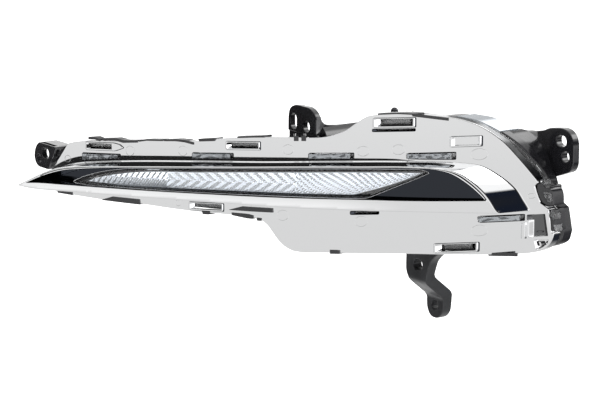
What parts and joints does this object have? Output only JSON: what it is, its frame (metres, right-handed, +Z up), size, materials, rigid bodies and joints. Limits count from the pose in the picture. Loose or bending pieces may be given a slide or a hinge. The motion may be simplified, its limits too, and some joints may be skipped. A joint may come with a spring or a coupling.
{
  "type": "vehicle indicator lamp",
  "caption": "Slim front bumper indicator and daytime lamp with a chrome hood and flange, a narrow patterned lens, a black rear housing and drilled mounting lugs.",
  "frame": {"origin": "centre of the round hole in the top lug, on the lug's front face", "axes": "+X right along the straight lip of the hood, seen from in front; +Y to the rear of the lamp; +Z up"},
  "size_m": [0.455, 0.0835, 0.1815],
  "materials": {
    "chrome_plate": "bright plating on a moulding",
    "clear_lens": "clear moulded plastic",
    "sealant": "satin",
    "optic": "clear with a moulded pattern",
    "silvered_tray": "vacuum silvered",
    "amber_light": "clear resin",
    "white_light": "clear resin over phosphor",
    "circuit_board": "solder resist",
    "zinc_screw": "zinc",
    "pad": "soft",
    "sink_metal": "satin",
    "ribbon": "film",
    "electronics": "satin",
    "contact": "bright",
    "black_plastic": "moulded, satin to gloss",
    "cover_plastic": "fine grain",
    "seal_rubber": "matt",
    "vent_rubber": "matt",
    "membrane": "felt",
    "black_screw": "black passivated"
  },
  "bodies": {
    "root": {"chrome_frame": "chrome_plate", "outer_lens": "clear_lens", "lens_seal": "sealant", "inner_optic": "optic", "reflector": "silvered_tray", "amber_leds": "amber_light", "white_leds": "white_light", "indicator_board": "circuit_board", "inner_daytime_board": "circuit_board", "outer_daytime_board": "circuit_board", "board_screws": "zinc_screw", "thermal_pads": "pad", "heat_sink": "sink_metal", "heat_sink_screws": "zinc_screw", "board_leads": "ribbon", "driver_board": "circuit_board", "driver_parts": "electronics", "driver_screws": "zinc_screw", "connector_pins": "contact", "rear_housing": "black_plastic", "rear_cover": "cover_plastic", "cover_seal": "seal_rubber", "cover_screws": "zinc_screw", "vent_cap": "vent_rubber", "vent_membrane": "membrane", "peg_screw": "black_screw"}
  },
  "joints": []
}
